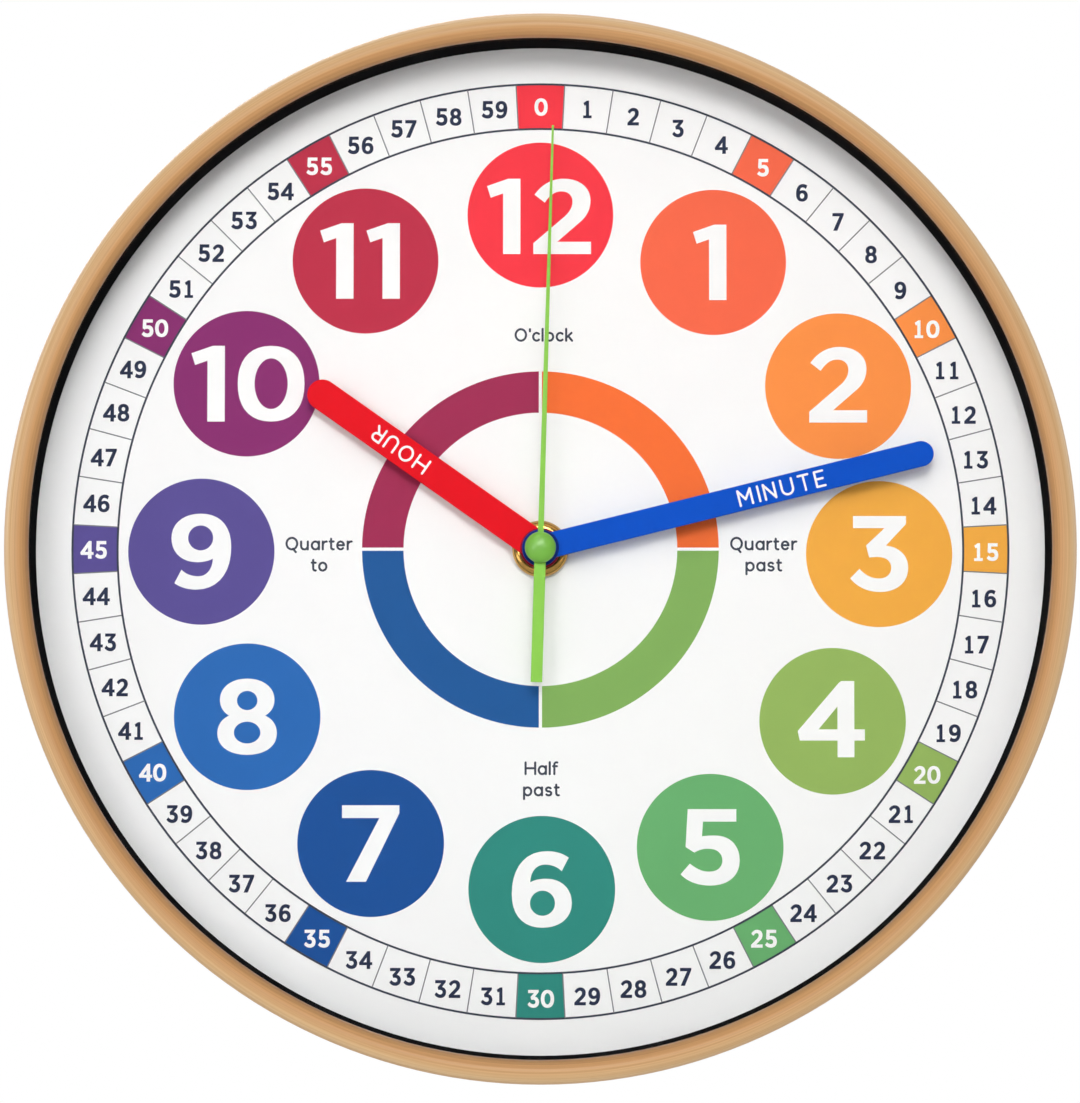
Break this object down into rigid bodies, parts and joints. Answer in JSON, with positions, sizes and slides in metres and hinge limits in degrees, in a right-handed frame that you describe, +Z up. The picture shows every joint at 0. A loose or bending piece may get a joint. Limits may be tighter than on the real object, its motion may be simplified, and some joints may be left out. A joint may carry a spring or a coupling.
{
  "type": "teaching clock",
  "caption": "Round wall clock for learning to tell the time: slim wood-tone hoop, clear lens, white dial, three coloured hands, quartz movement and keyhole hanger.",
  "frame": {"origin": "on the wall plane, on the axis of the wall screw that the clock hangs from, at the top of the keyhole slot", "axes": "+Z up, +Y into the wall, the dial faces -Y, +X to the right as the dial is read; the hands turn about a line along Y, 112 mm below the origin"},
  "size_m": [0.3044, 0.044, 0.305],
  "materials": {
    "wood_tone": "lacquered, fine grain running round the hoop",
    "black_plastic": "satin moulded",
    "clear_plastic": "clear, polished",
    "printed_sheet": "printed card, satin",
    "fibreboard": "pressed board",
    "grey_plastic": "textured moulding",
    "acetal": "natural moulding",
    "red_acetal": "tinted moulding",
    "brass": "polished turning",
    "steel": "plated",
    "magnet": "sintered",
    "copper": "enamelled wire",
    "rubber": "matte",
    "board": "solder resist",
    "cell_wrap": "gloss wrap",
    "red_paint": "gloss",
    "blue_paint": "gloss",
    "green_plastic": "gloss"
  },
  "bodies": {
    "clock_case": {"front_frame": "wood_tone", "lens": "clear_plastic", "inner_ring": "black_plastic", "dial": "printed_sheet", "backing_plate": "fibreboard", "rear_case": "grey_plastic", "rim_screw_1": "steel", "rim_screw_2": "steel", "rim_screw_3": "steel", "rim_screw_4": "steel", "rim_screw_5": "steel", "rim_screw_6": "steel", "movement_case": "black_plastic", "movement_front_plate": "acetal", "gear_bridge": "acetal", "centre_bush": "brass", "rubber_washer": "rubber", "brass_washer": "brass", "brass_nut": "brass", "stator": "steel", "coil_core": "steel", "coil_bobbin": "acetal", "coil_winding": "copper", "circuit_board": "board", "quartz_crystal": "steel", "control_chip": "rubber", "contact_positive": "steel", "contact_negative": "steel", "battery_cell": "cell_wrap"},
    "second_drive": {"second_wheel": "acetal", "second_hand": "green_plastic", "second_hand_cap": "green_plastic"},
    "third_drive": {"third_wheel": "red_acetal"},
    "centre_drive": {"centre_wheel": "acetal"},
    "intermediate_drive": {"intermediate_wheel": "red_acetal"},
    "rotor": {"rotor_pinion": "acetal", "rotor_magnet": "magnet"},
    "minute_drive": {"cannon_pinion": "acetal", "minute_hand": "blue_paint"},
    "reduction_drive": {"reduction_wheel": "acetal"},
    "hour_drive": {"hour_wheel": "acetal", "hour_hand": "red_paint"},
    "setting_drive": {"setting_stem": "acetal", "setting_knob": "acetal"}
  },
  "joints": [
    {"name": "second_spin", "type": "hinge", "parent": "clock_case", "child": "second_drive", "pos_m": [0, -0.03, -0.112], "axis": [0, 1, 0], "continuous": true},
    {"name": "third_spin", "type": "hinge", "parent": "clock_case", "child": "third_drive", "pos_m": [-0.00781, -0.0078, -0.10544], "axis": [0, 1, 0], "continuous": true},
    {"name": "centre_spin", "type": "hinge", "parent": "clock_case", "child": "centre_drive", "pos_m": [0, -0.0096, -0.112], "axis": [0, 1, 0], "continuous": true},
    {"name": "intermediate_spin", "type": "hinge", "parent": "clock_case", "child": "intermediate_drive", "pos_m": [0.00909, -0.0045, -0.10675], "axis": [0, 1, 0], "continuous": true},
    {"name": "rotor_spin", "type": "hinge", "parent": "clock_case", "child": "rotor", "pos_m": [0.01142, -0.008, -0.09806], "axis": [0, 1, 0], "continuous": true},
    {"name": "minute_spin", "type": "hinge", "parent": "clock_case", "child": "minute_drive", "pos_m": [0, -0.0288, -0.112], "axis": [0, 1, 0], "continuous": true},
    {"name": "reduction_spin", "type": "hinge", "parent": "clock_case", "child": "reduction_drive", "pos_m": [-0.00974, -0.0125, -0.10939], "axis": [0, 1, 0], "continuous": true},
    {"name": "hour_spin", "type": "hinge", "parent": "clock_case", "child": "hour_drive", "pos_m": [0, -0.0265, -0.112], "axis": [0, 1, 0], "continuous": true},
    {"name": "setting_spin", "type": "hinge", "parent": "clock_case", "child": "setting_drive", "pos_m": [-0.01921, -0.003, -0.11284], "axis": [0, 1, 0], "continuous": true}
  ],
  "couplings": [
    {"joint": "third_spin", "follows": "second_spin", "ratio": -0.13333},
    {"joint": "centre_spin", "follows": "second_spin", "ratio": 0.016667},
    {"joint": "intermediate_spin", "follows": "second_spin", "ratio": -6},
    {"joint": "rotor_spin", "follows": "second_spin", "ratio": 30},
    {"joint": "reduction_spin", "follows": "minute_spin", "ratio": -0.33333},
    {"joint": "hour_spin", "follows": "minute_spin", "ratio": 0.083333},
    {"joint": "setting_spin", "follows": "minute_spin", "ratio": 1}
  ]
}
